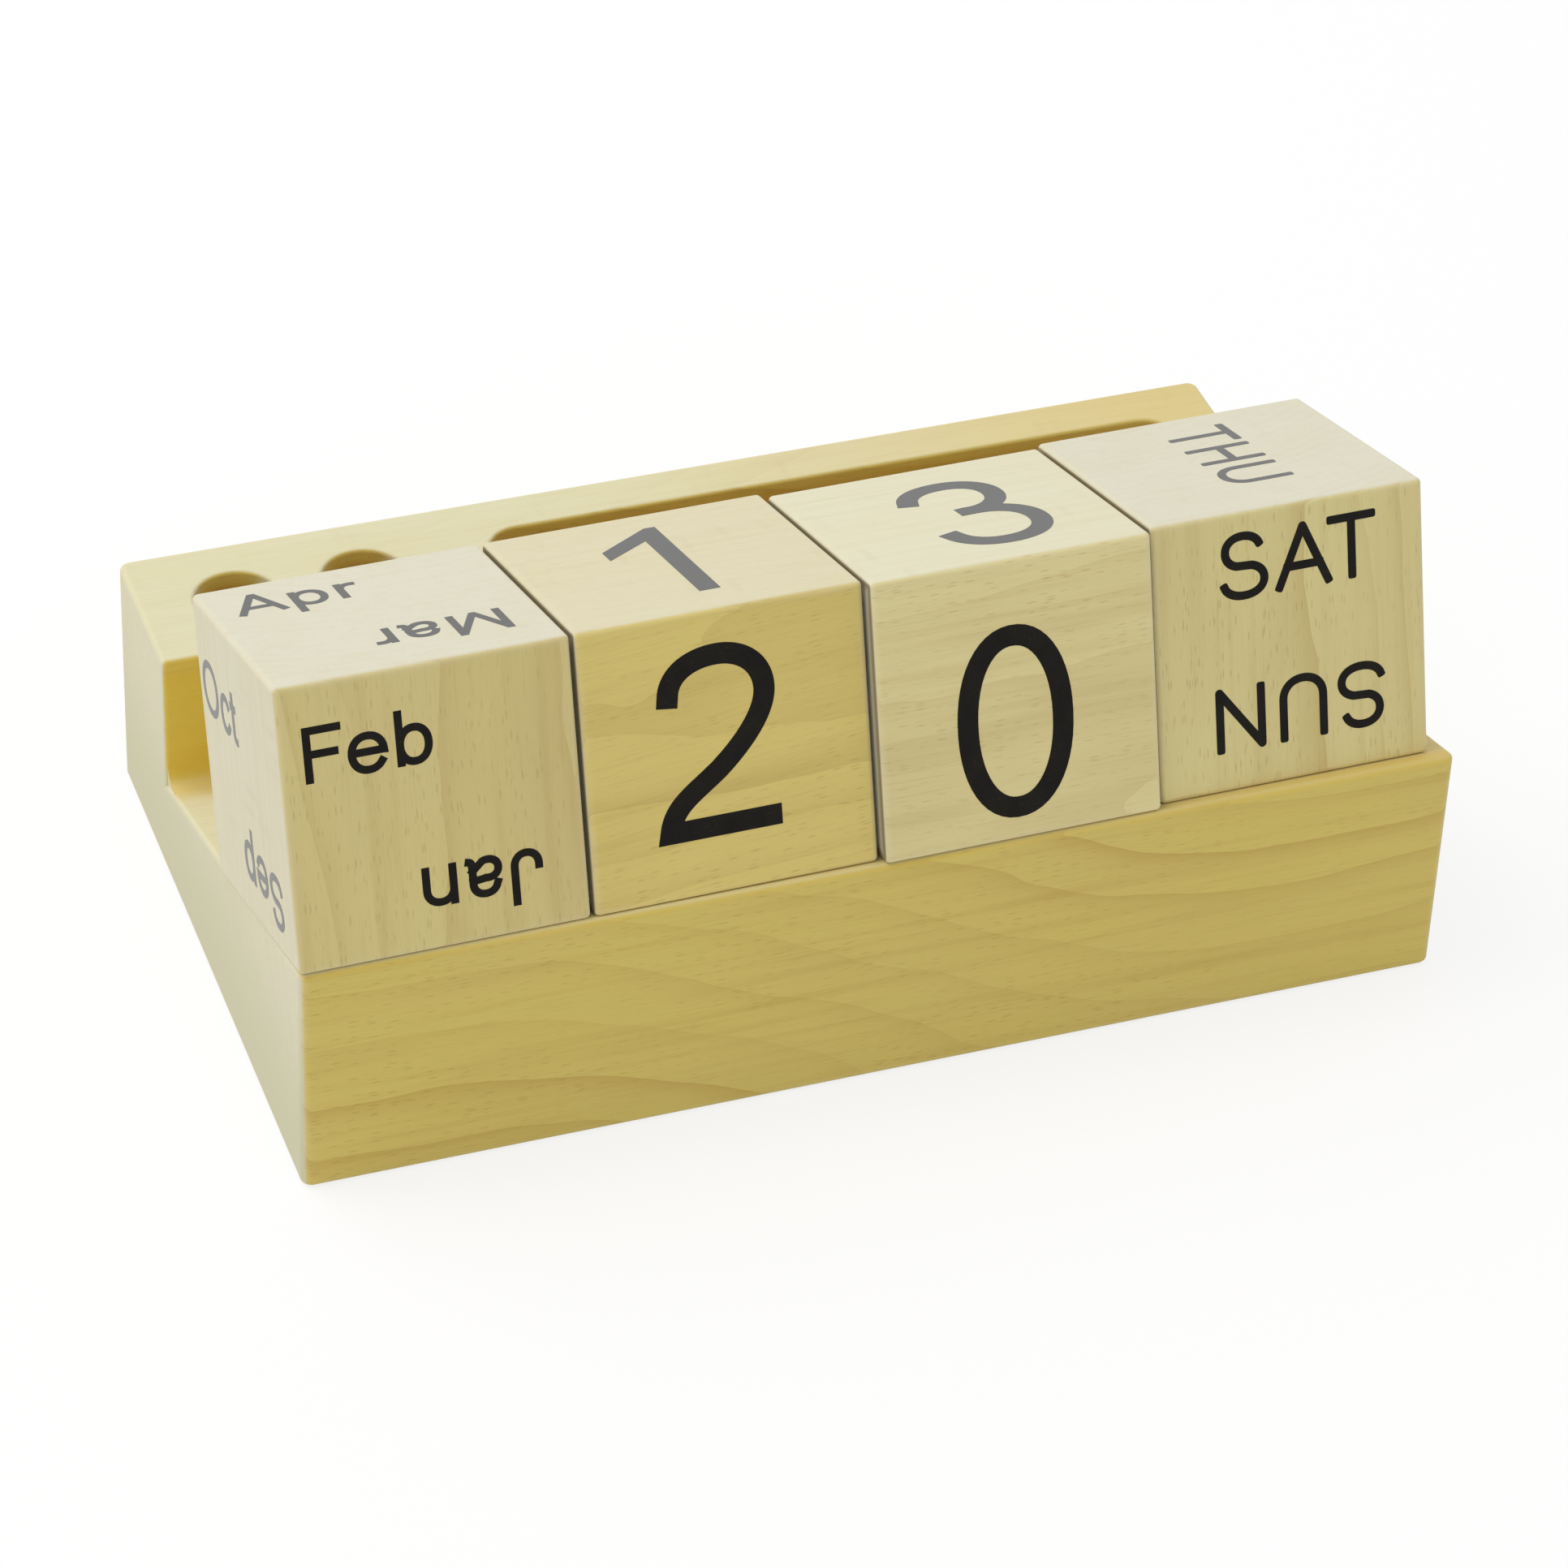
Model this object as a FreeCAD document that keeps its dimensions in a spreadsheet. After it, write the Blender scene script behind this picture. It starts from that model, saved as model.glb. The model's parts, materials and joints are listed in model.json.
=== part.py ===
import FreeCAD, Part
import os
import Sketcher

# Perpetual desk calendar: a solid hardwood block with a sloping seat, and four loose cubes on it.
# Millimetres. X runs along the row of cubes, Y from front to back, Z up.
# The origin is the middle of the block's footprint, on the surface that the block stands on.

os.makedirs("parts", exist_ok=True)
doc = FreeCAD.newDocument("desk_calendar")

# Driving dimensions
driving = [
    ("cube_side", 40.5, "side of each loose cube"),
    ("cube_round", 0.8, "rounding of every cube edge"),
    ("cube_gap", 0.5, "space between neighbouring cubes"),
    ("cube_count", 4, "cubes in the row"),
    ("row_start", -0.4, "left end of the block to the month cube, which stands a little past it"),
    ("row_end", 3.4, "weekday cube to the right end of the block"),
    ("row_turn", 1.0, "turn of the loose cubes on the seat, in degrees"),
    ("month_setback", 0.2, "front edge of the seat to the month cube, along the seat"),
    ("tens_setback", 0.9, "the same for the tens cube"),
    ("units_setback", 0.0, "the same for the units cube"),
    ("weekday_setback", 2.4, "the same for the weekday cube"),
    ("seat_slope", 17.0, "fall of the seat towards the back, in degrees"),
    ("finger_gap", 32.72, "seat behind the cubes, where fingers reach in"),
    ("seat_foot", 15.6, "wood left under the back edge of the seat"),
    ("land_depth", 25.0, "flat top behind the riser, front to back"),
    ("corner_round", 1.6, "rounding of the block's four upright corners"),
    ("edge_round", 0.8, "rounding of the block's other outer edges"),
    ("mouth_round", 0.6, "rounding of the rims of the holes and the slot"),
    ("bore_line", 13.0, "back face to the line through the holes and the slot"),
    ("pen_hole_diameter", 12.5, "round holes for pens"),
    ("pen_hole_margin", 8.0, "left end of the block to the first hole's wall"),
    ("pen_hole_wall", 6.3, "wood between the two holes"),
    ("pen_hole_floor", 9.5, "wood left under the holes"),
    ("slot_width", 11.0, "slot for cards and notes, front to back"),
    ("slot_wall", 12.5, "wood between the second hole and the slot"),
    ("slot_margin", 7.3, "slot to the right end of the block"),
    ("slot_floor", 17.5, "wood left under the slot"),
]

# Sizes that follow from the driving dimensions
following = [
    ("base_length", "=row_start + cube_count * cube_side + (cube_count - 1) * cube_gap + row_end"),
    ("seat_run", "=cube_side * cos(seat_slope * 1 deg) + finger_gap"),
    ("seat_fall", "=seat_run * tan(seat_slope * 1 deg)"),
    ("base_height", "=seat_foot + seat_fall"),
    ("base_depth", "=seat_run + land_depth"),
    ("first_hole_x", "=pen_hole_margin + pen_hole_diameter / 2"),
    ("hole_spacing", "=pen_hole_diameter + pen_hole_wall"),
    ("slot_left", "=first_hole_x + hole_spacing + pen_hole_diameter / 2 + slot_wall"),
    ("slot_length", "=base_length - slot_margin - slot_left"),
]

sizes = doc.addObject("Spreadsheet::Sheet", "Sizes")
for row, (alias, value, meaning) in enumerate(driving, start=1):
    sizes.set("A%d" % row, meaning)
    sizes.set("B%d" % row, str(value))
    sizes.setAlias("B%d" % row, alias)
for row, (alias, formula) in enumerate(following, start=len(driving) + 2):
    sizes.set("A%d" % row, alias.replace("_", " "))
    sizes.set("B%d" % row, formula)
    sizes.setAlias("B%d" % row, alias)
doc.recompute()


def size(alias):
    """The plain number in a named cell of the sheet."""
    value = getattr(sizes, alias)
    return float(getattr(value, "Value", value))


def origin_feature(body, role):
    """One of the body's own planes or axes."""
    for feature in body.Origin.OriginFeatures:
        if feature.Role == role:
            return feature
    raise RuntimeError("no " + role)


def new_body(label):
    """An empty body whose label is the piece's name."""
    body = doc.addObject("PartDesign::Body", label)
    body.Label = label
    return body


def new_sketch(body, name, role):
    """An empty sketch on one of the body's own planes."""
    sketch = body.newObject("Sketcher::SketchObject", name)
    sketch.AttachmentSupport = [(origin_feature(body, role), "")]
    sketch.MapMode = "FlatFace"
    return sketch


def bind(sketch, kind, where, name, formula):
    """A dimension of the sketch that follows the sheet."""
    value = sketch.evalExpression(formula)
    start = float(getattr(value, "Value", value))
    index = sketch.addConstraint(Sketcher.Constraint(kind, *where, start))
    sketch.renameConstraint(index, name)
    sketch.setExpression("Constraints." + name, formula)


def outline(sketch, points):
    """A closed chain of lines through the points, joined end to start."""
    count = len(points)
    for index, point in enumerate(points):
        after = points[(index + 1) % count]
        line = Part.LineSegment(FreeCAD.Vector(*point, 0), FreeCAD.Vector(*after, 0))
        sketch.addGeometry(line, False)
    for index in range(count):
        joint = Sketcher.Constraint("Coincident", index, 2, (index + 1) % count, 1)
        sketch.addConstraint(joint)


def edges_where(feature, wanted):
    """Names of the feature's edges that the test accepts."""
    names = []
    for number, edge in enumerate(feature.Shape.Edges, start=1):
        if wanted(edge):
            names.append("Edge%d" % number)
    return names


def round_edges(body, feature, name, wanted, radius):
    """A fillet on the chosen edges, its radius bound to the sheet."""
    doc.recompute()
    fillet = body.newObject("PartDesign::Fillet", name)
    fillet.Base = (feature, edges_where(feature, wanted))
    fillet.setExpression("Radius", "Sizes." + radius)
    return fillet


def near(value, target):
    """True where two lengths agree to a hundredth."""
    return abs(value - target) < 0.01


# Holder block: one length of hardwood, sawn to a wedge-shaped step and bored from above
block = new_body("holder_block")

side = new_sketch(block, "SideProfile", "YZ_Plane")
outline(side, [
    (0, 0),
    (size("base_depth"), 0),
    (size("base_depth"), size("base_height")),
    (size("seat_run"), size("base_height")),
    (size("seat_run"), size("seat_foot")),
    (0, size("base_height")),
])
BOTTOM, BACK, LAND, RISER, SEAT, FRONT = range(6)
side.addConstraint(Sketcher.Constraint("Coincident", BOTTOM, 1, -1, 1))
for line in (BOTTOM, LAND):
    side.addConstraint(Sketcher.Constraint("Horizontal", line))
for line in (BACK, RISER, FRONT):
    side.addConstraint(Sketcher.Constraint("Vertical", line))
side.addConstraint(Sketcher.Constraint("Equal", BACK, FRONT))
bind(side, "DistanceX", (BOTTOM, 1, BOTTOM, 2), "base_depth", "Sizes.base_depth")
bind(side, "DistanceY", (BACK, 1, BACK, 2), "base_height", "Sizes.base_height")
bind(side, "DistanceX", (LAND, 2, LAND, 1), "land_depth", "Sizes.land_depth")
bind(side, "DistanceY", (RISER, 2, RISER, 1), "seat_fall", "Sizes.seat_fall")

stock = block.newObject("PartDesign::Pad", "Stock")
stock.Profile = side
stock.setExpression("Length", "Sizes.base_length")


def upright_corner(edge):
    """The four outer upright edges of the block."""
    middle = edge.CenterOfMass
    upright = near(edge.BoundBox.XLength, 0) and near(edge.BoundBox.YLength, 0)
    return upright and (near(middle.y, 0) or near(middle.y, size("base_depth")))


corners = round_edges(block, stock, "CornerRound", upright_corner, "corner_round")


def outer_edge(edge):
    """Every edge but the rounded corners' own uprights and the seat's inner corner."""
    box = edge.BoundBox
    upright = near(box.XLength, 0) and near(box.YLength, 0)
    at_riser = near(edge.CenterOfMass.y, size("seat_run"))
    inner_corner = at_riser and near(edge.CenterOfMass.z, size("seat_foot"))
    return not inner_corner and (at_riser or not upright)


eased = round_edges(block, corners, "EdgeRound", outer_edge, "edge_round")

slot_sketch = new_sketch(block, "SlotOutline", "XY_Plane")
slot_sketch.setExpression("AttachmentOffset.Base.z", "Sizes.base_height")
slot_radius = size("slot_width") / 2
slot_y = size("base_depth") - size("bore_line")
left_centre = FreeCAD.Vector(size("slot_left") + slot_radius, slot_y, 0)
right_centre = FreeCAD.Vector(size("slot_left") + size("slot_length") - slot_radius, slot_y, 0)
reach = FreeCAD.Vector(0, slot_radius, 0)
outwards = FreeCAD.Vector(slot_radius, 0, 0)
LOWER, RIGHT_END, UPPER, LEFT_END = range(4)
slot_sketch.addGeometry(Part.LineSegment(left_centre - reach, right_centre - reach), False)
slot_sketch.addGeometry(Part.Arc(right_centre - reach, right_centre + outwards, right_centre + reach), False)
slot_sketch.addGeometry(Part.LineSegment(right_centre + reach, left_centre + reach), False)
slot_sketch.addGeometry(Part.Arc(left_centre + reach, left_centre - outwards, left_centre - reach), False)
for first, second in ((LOWER, RIGHT_END), (UPPER, LEFT_END)):
    slot_sketch.addConstraint(Sketcher.Constraint("Tangent", first, 2, second, 1))
for first, second in ((RIGHT_END, UPPER), (LEFT_END, LOWER)):
    slot_sketch.addConstraint(Sketcher.Constraint("Tangent", first, 2, second, 1))
slot_sketch.addConstraint(Sketcher.Constraint("Horizontal", LOWER))
bind(slot_sketch, "Radius", (RIGHT_END,), "end_radius", "Sizes.slot_width / 2")
bind(slot_sketch, "DistanceX", (-1, 1, LEFT_END, 3), "left_end", "Sizes.slot_left + Sizes.slot_width / 2")
bind(slot_sketch, "DistanceY", (-1, 1, LEFT_END, 3), "line", "Sizes.base_depth - Sizes.bore_line")
bind(slot_sketch, "DistanceX", (LEFT_END, 3, RIGHT_END, 3), "between_ends",
     "Sizes.slot_length - Sizes.slot_width")

slot = block.newObject("PartDesign::Pocket", "CardSlot")
slot.Profile = slot_sketch
slot.setExpression("Length", "Sizes.base_height - Sizes.slot_floor")
doc.recompute()

hole_sketch = new_sketch(block, "HoleCentres", "XY_Plane")
hole_sketch.setExpression("AttachmentOffset.Base.z", "Sizes.base_height")
hole_radius = size("pen_hole_diameter") / 2
for number in range(2):
    centre_x = size("first_hole_x") + number * size("hole_spacing")
    centre = FreeCAD.Vector(centre_x, slot_y, 0)
    hole_sketch.addGeometry(Part.Circle(centre, FreeCAD.Vector(0, 0, 1), hole_radius), False)
    bind(hole_sketch, "Radius", (number,), "radius_%d" % number, "Sizes.pen_hole_diameter / 2")
    bind(hole_sketch, "DistanceX", (-1, 1, number, 3), "along_%d" % number,
         "Sizes.first_hole_x + %d * Sizes.hole_spacing" % number)
    bind(hole_sketch, "DistanceY", (-1, 1, number, 3), "line_%d" % number,
         "Sizes.base_depth - Sizes.bore_line")
doc.recompute()

holes = block.newObject("PartDesign::Hole", "PenHoles")
holes.Profile = hole_sketch
doc.recompute()
holes.Threaded = False
holes.DepthType = "Dimension"
holes.DrillPoint = "Flat"
holes.setExpression("Diameter", "Sizes.pen_hole_diameter")
holes.setExpression("Depth", "Sizes.base_height - Sizes.pen_hole_floor")


def rim(edge):
    """Edges round the mouths of the holes and the slot, in the top face."""
    middle = edge.CenterOfMass
    on_top = near(edge.BoundBox.ZLength, 0) and near(middle.z, size("base_height"))
    reach_of_holes = max(size("slot_width"), size("pen_hole_diameter")) / 2 + size("edge_round")
    return on_top and abs(middle.y - slot_y) < reach_of_holes and size("edge_round") * 2 < middle.x \
        and middle.x < size("base_length") - size("edge_round") * 2


mouths = round_edges(block, holes, "MouthRound", rim, "mouth_round")
block.setExpression("Placement.Base.x", "-Sizes.base_length / 2")
block.setExpression("Placement.Base.y", "-Sizes.base_depth / 2")


def make_cube(label, place, setback):
    """One loose cube on the seat, in its place in the row counted from the left.
    Its origin is the middle of the face that it stands on."""
    body = new_body(label)
    face = new_sketch(body, label + "_face", "XY_Plane")
    turn = FreeCAD.Rotation(FreeCAD.Vector(0, 0, 1), size("row_turn"))
    face.AttachmentOffset = FreeCAD.Placement(FreeCAD.Vector(), turn)
    face.setExpression("AttachmentOffset.Rotation.Angle", "Sizes.row_turn * 1 deg")
    half = size("cube_side") / 2
    outline(face, [(-half, -half), (half, -half), (half, half), (-half, half)])
    face.addConstraint(Sketcher.Constraint("Symmetric", 0, 1, 1, 2, -1, 1))
    for line in (0, 2):
        face.addConstraint(Sketcher.Constraint("Horizontal", line))
    for line in (1, 3):
        face.addConstraint(Sketcher.Constraint("Vertical", line))
    bind(face, "DistanceX", (0, 1, 0, 2), "width", "Sizes.cube_side")
    bind(face, "DistanceY", (1, 1, 1, 2), "depth", "Sizes.cube_side")
    blank = body.newObject("PartDesign::Pad", label + "_blank")
    blank.Profile = face
    blank.setExpression("Length", "Sizes.cube_side")
    round_edges(body, blank, label + "_round", lambda edge: True, "cube_round")
    body.Placement.Rotation = FreeCAD.Rotation(FreeCAD.Vector(1, 0, 0), -size("seat_slope"))
    body.setExpression("Placement.Rotation.Angle", "Sizes.seat_slope * -1 deg")
    along_seat = "(Sizes.%s + Sizes.cube_side / 2)" % setback
    body.setExpression("Placement.Base.x", "-Sizes.base_length / 2 + Sizes.row_start"
                       " + Sizes.cube_side / 2 + %d * (Sizes.cube_side + Sizes.cube_gap)" % place)
    body.setExpression("Placement.Base.y", "-Sizes.base_depth / 2"
                       " + %s * cos(Sizes.seat_slope * 1 deg)" % along_seat)
    body.setExpression("Placement.Base.z", "Sizes.base_height"
                       " - %s * sin(Sizes.seat_slope * 1 deg)" % along_seat)
    return body


# Cubes, from the left: month, tens of the date, units of the date, day of the week
pieces = [block]
cubes = [
    ("month_cube", "month_setback"),
    ("date_tens_cube", "tens_setback"),
    ("date_units_cube", "units_setback"),
    ("weekday_cube", "weekday_setback"),
]
for place, (label, setback) in enumerate(cubes):
    pieces.append(make_cube(label, place, setback))
doc.recompute()

# Nothing is written unless every object came out whole
for item in doc.Objects:
    if "Invalid" in item.State or "Error" in item.State:
        raise RuntimeError("%s failed: %s" % (item.Name, item.State))
for piece in pieces:
    shape = piece.Shape
    if shape.isNull() or not shape.isValid() or len(shape.Solids) != 1:
        raise RuntimeError(piece.Label + " isn't one valid solid")
for piece in pieces:
    piece.Shape.exportStep("parts/" + piece.Label + ".step")
    box = piece.Shape.BoundBox
    print("%s volume %.1f x %.2f..%.2f y %.2f..%.2f z %.2f..%.2f" % (
        piece.Label, piece.Shape.Volume, box.XMin, box.XMax, box.YMin, box.YMax, box.ZMin, box.ZMax))
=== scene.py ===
import json
import math

import bpy
from mathutils import Matrix, Vector
from mathutils.geometry import delaunay_2d_cdt


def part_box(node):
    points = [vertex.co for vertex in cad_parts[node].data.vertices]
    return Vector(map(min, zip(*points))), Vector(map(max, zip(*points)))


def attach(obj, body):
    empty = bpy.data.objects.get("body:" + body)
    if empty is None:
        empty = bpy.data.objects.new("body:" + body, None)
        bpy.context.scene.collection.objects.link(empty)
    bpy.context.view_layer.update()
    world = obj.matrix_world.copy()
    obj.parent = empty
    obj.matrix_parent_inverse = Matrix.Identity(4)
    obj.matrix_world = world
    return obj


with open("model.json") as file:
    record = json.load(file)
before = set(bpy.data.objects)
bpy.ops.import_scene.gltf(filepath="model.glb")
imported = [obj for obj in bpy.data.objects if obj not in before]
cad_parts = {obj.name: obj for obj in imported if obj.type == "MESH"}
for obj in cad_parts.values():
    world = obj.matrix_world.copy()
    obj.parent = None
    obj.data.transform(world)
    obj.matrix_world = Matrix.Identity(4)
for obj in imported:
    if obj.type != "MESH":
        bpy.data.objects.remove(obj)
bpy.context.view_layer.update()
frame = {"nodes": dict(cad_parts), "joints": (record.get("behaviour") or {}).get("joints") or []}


# ---------------------------------------------------------------------------------------------
# Holder block: one length of beech, planed, its front milled down to a sloping seat with a plain
# riser behind it, then bored for two pens and routed for a slot. The front is flat-sawn, so the
# growth rings run out into long tongues there; the edges are eased and nothing is varnished.

class Wire:
    """The output of a shader node. Arithmetic on it adds Math nodes to the same material."""

    def __init__(self, tree, socket=None):
        self.tree, self.socket = tree, socket

    def node(self, kind, output=0, inputs=None, **settings):
        """Any other node: its settings first, then the values or links of its sockets."""
        made = self.tree.nodes.new(kind)
        for name, value in settings.items():
            setattr(made, name, value)
        for name, value in (inputs or {}).items():
            if isinstance(value, Wire):
                self.tree.links.new(value.socket, made.inputs[name])
            else:
                made.inputs[name].default_value = value
        return Wire(self.tree, made.outputs[output])

    def math(self, operation, first, second=0.0):
        return self.node("ShaderNodeMath", operation=operation, inputs={0: first, 1: second})

    def __add__(self, other):
        return self.math("ADD", self, other)

    __radd__ = __add__

    def __sub__(self, other):
        return self.math("SUBTRACT", self, other)

    def __rsub__(self, other):
        return self.math("SUBTRACT", other, self)

    def __mul__(self, other):
        return self.math("MULTIPLY", self, other)

    __rmul__ = __mul__

    def __truediv__(self, other):
        return self.math("DIVIDE", self, other)

    def __pow__(self, other):
        return self.math("POWER", self, other)

    def __abs__(self):
        return self.math("ABSOLUTE", self)

    def least(self, other):
        return self.math("MINIMUM", self, other)

    def most(self, other):
        return self.math("MAXIMUM", self, other)

    def rise(self, low, high):
        """0 below low, 1 above high, and a smooth rise between them."""
        return self.node("ShaderNodeMapRange", interpolation_type="SMOOTHSTEP",
                         inputs={"Value": self, "From Min": low, "From Max": high})

    def blend(self, before, after):
        """The first colour where this is 0, the second where it is 1."""
        return self.node("ShaderNodeMix", output=2, data_type="RGBA",
                         inputs={0: self, 6: before, 7: after})


def tone(red, green, blue):
    """A colour given as it is seen, 0 to 255, turned into the linear one that a socket takes."""
    return [((c / 255 + 0.055) / 1.055) ** 2.4 for c in (red, green, blue)] + [1.0]


def wood(name, grain, outward, heart, half_size, turned, middle, tones, ring=0.0024,
         swirl=None, shade_places=None, seams=()):
    """Beech, cut from a trunk whose heart passes through one point and runs along grain.
    outward is the way from the heart to the flat-sawn face, and ring the width of a year's
    growth. swirl is how far the rings dip, and where along the grain that starts and ends. cuts
    gives the places of painted shade and their tones, seams the sides with painted shade along
    their edges."""
    made = bpy.data.materials.new(name)
    made.use_nodes = True
    tree = made.node_tree
    shader = tree.nodes["Principled BSDF"]
    start = Wire(tree)
    across_way = Vector(grain).cross(Vector(outward))
    trunk = Matrix((grain, outward, across_way)).transposed()
    place = start.node("ShaderNodeTexCoord", output="Object")
    facing = start.node("ShaderNodeTexCoord", output="Normal")
    in_trunk = start.node("ShaderNodeMapping", vector_type="TEXTURE", inputs={
        "Vector": place, "Location": heart, "Rotation": trunk.to_euler()})
    along, deep, across = (start.node("ShaderNodeSeparateXYZ", output=i, inputs={0: in_trunk})
                           for i in range(3))

    def cells(length, depth, width):
        """Trunk coordinates in which one cell of a pattern has this length, depth and width."""
        return start.node("ShaderNodeCombineXYZ",
                          inputs={0: along / length, 1: deep / depth, 2: across / width})

    def cloud(length, depth, width, detail=2.0):
        return start.node("ShaderNodeTexNoise", inputs={
            "Vector": cells(length, depth, width), "Scale": 1.0, "Detail": detail})

    def toward(way):
        """1 where the surface faces this way, 0 where it faces sideways to it."""
        return start.node("ShaderNodeVectorMath", output="Value", operation="DOT_PRODUCT",
                          inputs={0: facing, 1: way})

    # Growth rings, slowly wandering, each darkening towards its outer edge
    radius = (deep * deep + across * across) ** 0.5
    slow_wander, fine_wander = 0.007, 0.0011
    wander = ((cloud(0.09, 0.03, 0.03, 1.0) - 0.5) * slow_wander
              + (cloud(0.02, 0.006, 0.006, 1.0) - 0.5) * fine_wander)
    if swirl:
        dip, dip_start, dip_end = swirl
        wander = wander + along.rise(dip_start, dip_end) * dip
    growth = (radius + wander) / ring
    late = start.math("FRACT", growth) ** 3.0
    year = start.node("ShaderNodeTexWhiteNoise", noise_dimensions="1D",
                      inputs={"W": start.math("FLOOR", growth)})
    # How each place was cut: across the trunk, along its rings, or between
    end_cut = abs(toward(grain)).rise(0.55, 0.95)
    ring_cut = abs(toward(outward)).rise(0.35, 0.85)
    # Rays: thin upright sheets of cells that show as short dark dashes on a flat-sawn face
    ray_length, ray_depth, ray_width = 0.0027, 0.012, 0.00046
    ray_cells = cells(ray_length, ray_depth, ray_width)
    ray = start.node("ShaderNodeTexVoronoi", inputs={"Vector": ray_cells, "Scale": 1.0})
    ray_choice = start.node("ShaderNodeTexVoronoi", output="Color",
                            inputs={"Vector": ray_cells, "Scale": 1.0})
    chosen = start.node("ShaderNodeSeparateColor", inputs={0: ray_choice}).rise(0.15, 0.85)
    patchy = cloud(0.05, 0.02, 0.02, 1.0).rise(0.38, 0.62)
    dashes = (1.0 - ray.rise(0.14, 0.40)) * chosen * (0.30 + 0.70 * patchy)
    fibre = cloud(0.011, 0.00022, 0.00022, 3.0)
    streak = cloud(0.07, 0.0022, 0.0022, 2.0)
    mottle = cloud(0.03, 0.012, 0.012, 2.0)
    # Edges rubbed smooth by handling and painted paler as a highlight: second is the distance to
    # the second nearest side
    edge_band_from, edge_band_to = 0.0002, 0.0014
    local = start.node("ShaderNodeMapping", vector_type="TEXTURE",
                       inputs={"Vector": place, "Location": middle, "Rotation": turned})
    gaps = [half - abs(start.node("ShaderNodeSeparateXYZ", output=i, inputs={0: local}))
            for i, half in enumerate(half_size)]
    second = gaps[0].least(gaps[1]).most(gaps[0].most(gaps[1]).least(gaps[2]))
    wear_and_painted_highlight = 1.0 - second.rise(edge_band_from, edge_band_to)
    wear_and_painted_highlight = wear_and_painted_highlight * (0.45 + 0.55 * mottle.rise(0.35, 0.65))

    # The paler quarter-sawn and end-grain tones against the deeper ochre of the flat-sawn faces
    # are partly the grain and partly painted light: a painted sheen on the tops and sides, painted
    # shade on the fronts.
    quarter_and_painted_light = along.rise(-0.03, 0.09).blend(tones["quarter_and_painted_light"], tones["far"])
    colour = ring_cut.blend(quarter_and_painted_light, tones["flat"])
    colour = end_cut.blend(colour, tones["end"])
    # The figure: where each layer lies, its strength anywhere, how much more of it a flat-sawn
    # face shows, and its tone
    for layer, anywhere, more_if_flat, figure_tone in (
            (mottle.rise(0.3, 0.7), 0.10, 0.25, "warm"),
            (late * (0.20 + 0.80 * year), 0.08, 0.38, "late"),
            (streak.rise(0.45, 0.8), 0.06, 0.18, "late"),
            (dashes * (1.0 - 0.6 * end_cut), 0.06, 0.20, "ray")):
        colour = (layer * (anywhere + more_if_flat * ring_cut)).blend(colour, tones[figure_tone])
    colour = (fibre.rise(0.5, 0.78) * 0.12).blend(colour, tones["ray"])
    # The edges' paler tone is partly handling wear and partly a painted highlight.
    colour = (wear_and_painted_highlight * 0.25).blend(colour, tones["wear_and_painted_highlight"])
    # Painted shade along the edges where the piece meets another.
    seam_from, seam_to, seam_strength = 0.0005, 0.0024, 0.80
    for way in seams:
        seam_shade_mask = toward(way).rise(0.75, 0.98) * (1.0 - second.rise(seam_from, seam_to))
        colour = (seam_shade_mask * seam_strength).blend(colour, tones["seam_shade"])
    # Painted shade on the block's bores, riser, front edge, seat corner and low ends.
    for mask, shade_tone in shade_places(start, place, toward) if shade_places else ():
        colour = mask.blend(colour, tones[shade_tone])
    tree.links.new(colour.socket, shader.inputs["Base Color"])
    rough = 0.50 + 0.12 * fibre - 0.07 * wear_and_painted_highlight + 0.06 * end_cut
    tree.links.new(rough.socket, shader.inputs["Roughness"])
    relief = fibre * 0.7 + dashes * -0.5 + late * 0.25
    bump = start.node("ShaderNodeBump", inputs={
        "Height": relief, "Strength": 0.12, "Distance": 0.0002})
    tree.links.new(bump.socket, shader.inputs["Normal"])
    shader.inputs["IOR"].default_value = 1.5
    shader.inputs["Specular IOR Level"].default_value = 0.3
    shader.inputs["Specular Tint"].default_value = (1.0, 0.92, 0.72, 1.0)
    return made


low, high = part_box("holder_block")
block_top = high.z
# From the front to the back: the foot of the riser, and the middle line of the holes and the slot
riser_line, bore_line = 0.023225, 0.035225


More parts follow.
